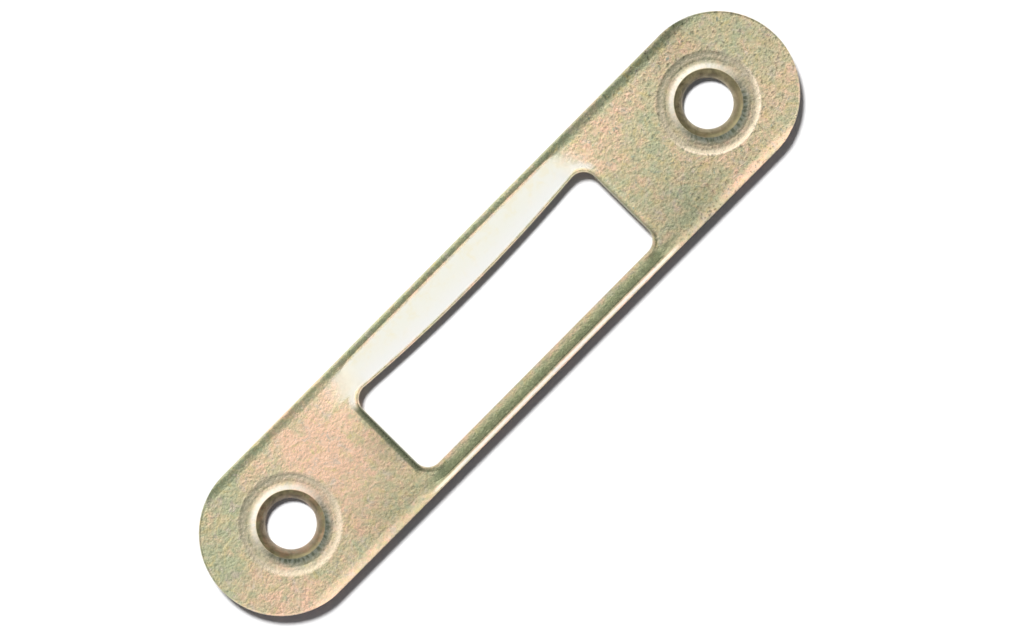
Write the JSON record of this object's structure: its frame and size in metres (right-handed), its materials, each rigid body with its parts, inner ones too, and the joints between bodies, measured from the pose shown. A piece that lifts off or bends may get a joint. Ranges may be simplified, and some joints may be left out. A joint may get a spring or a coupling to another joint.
{
  "type": "door strike plate",
  "caption": "Round-ended flat steel strike plate for a door frame: a latch opening between a sloped lead-in lip and a narrow rail, with a coined countersunk screw hole toward each end.",
  "frame": {"origin": "middle of the plate, on the plane of its flat back", "axes": "+X along the plate, +Y across it toward the lead-in lip, +Z out of the front face"},
  "size_m": [0.0762, 0.016, 0.0021],
  "materials": {
    "plated_steel": "yellow passivated zinc plating, satin and faintly mottled"
  },
  "bodies": {
    "root": {"strike_plate": "plated_steel"}
  },
  "joints": []
}
